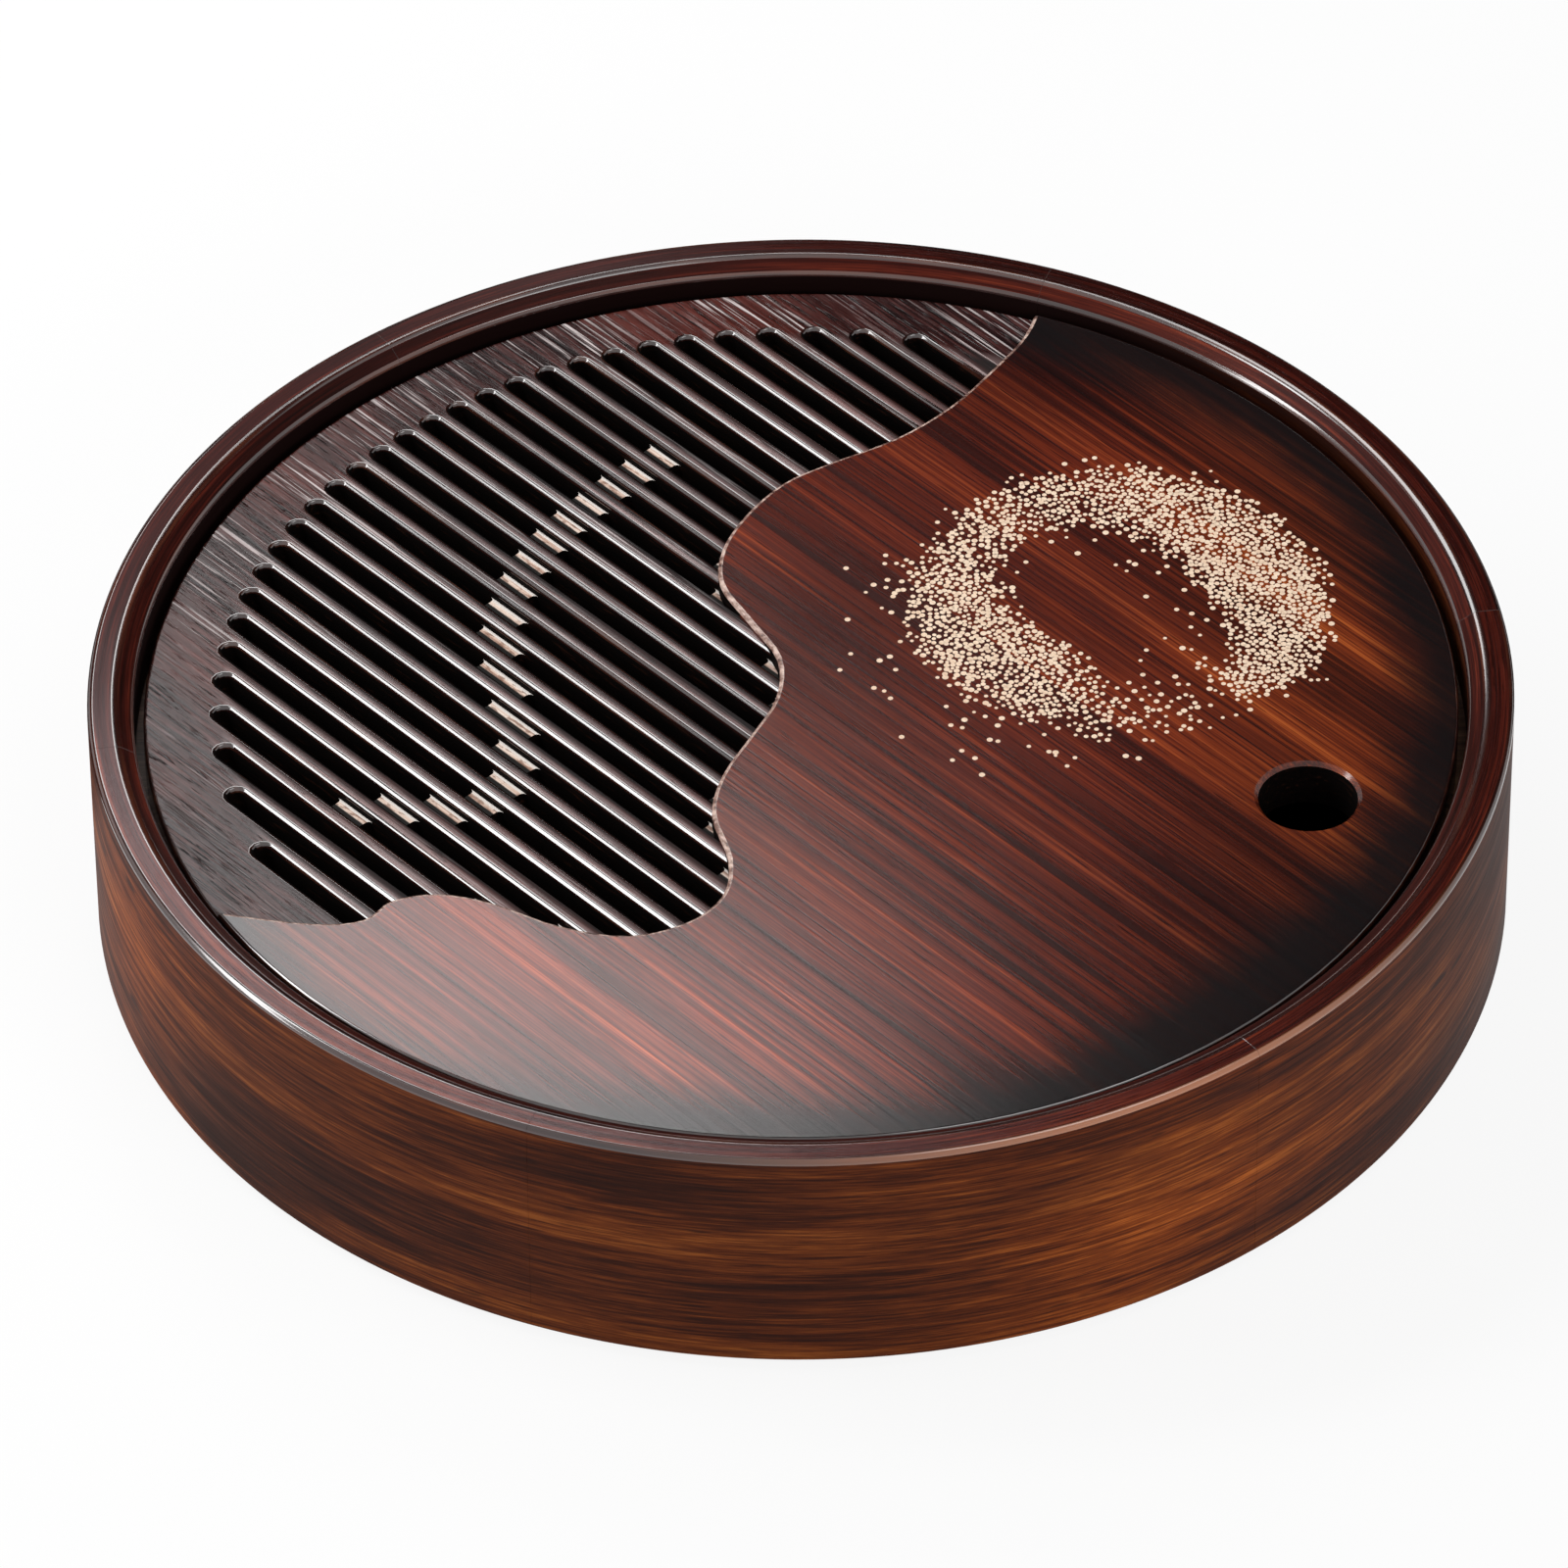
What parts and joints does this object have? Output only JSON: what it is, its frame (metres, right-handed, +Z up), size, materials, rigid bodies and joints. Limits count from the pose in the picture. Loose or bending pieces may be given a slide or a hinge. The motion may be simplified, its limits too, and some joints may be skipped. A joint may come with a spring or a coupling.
{
  "type": "gongfu tea tray",
  "caption": "Round dark bamboo tea tray with a slotted, lift-off drip panel over a lift-out water tray.",
  "frame": {"origin": "centre of the underside, on the surface that the foot pads stand on", "axes": "+Z up, -Y towards the person pouring, +X to the right, with the finger hole at the right"},
  "size_m": [0.28, 0.28, 0.0535],
  "materials": {
    "ring_bamboo": "satin",
    "panel_bamboo": "satin",
    "base_bamboo": "satin",
    "dowel_wood": "matte",
    "screw_steel": "satin",
    "pad_rubber": "matte",
    "tray_plastic": "gloss"
  },
  "bodies": {
    "ring_and_base": {"ring_segment_1": "ring_bamboo", "ring_segment_2": "ring_bamboo", "ring_segment_3": "ring_bamboo", "ring_segment_4": "ring_bamboo", "ring_segment_5": "ring_bamboo", "ring_segment_6": "ring_bamboo", "ledge_strip_1": "base_bamboo", "ledge_strip_2": "base_bamboo", "ledge_strip_3": "base_bamboo", "ledge_strip_4": "base_bamboo", "ledge_strip_5": "base_bamboo", "ledge_strip_6": "base_bamboo", "joint_dowels": "dowel_wood", "base_board": "base_bamboo", "base_screws": "screw_steel", "foot_pad_1": "pad_rubber", "foot_pad_2": "pad_rubber", "foot_pad_3": "pad_rubber", "foot_pad_4": "pad_rubber"},
    "water_tray": {"water_tray": "tray_plastic"},
    "drip_panel": {"drip_panel": "panel_bamboo"}
  },
  "joints": [
    {"name": "water_tray_lift", "type": "slide", "parent": "ring_and_base", "child": "water_tray", "axis": [0, 0, 1], "range_m": [0, 0.08]},
    {"name": "drip_panel_lift", "type": "slide", "parent": "water_tray", "child": "drip_panel", "axis": [0, 0, 1], "range_m": [0, 0.12]}
  ]
}
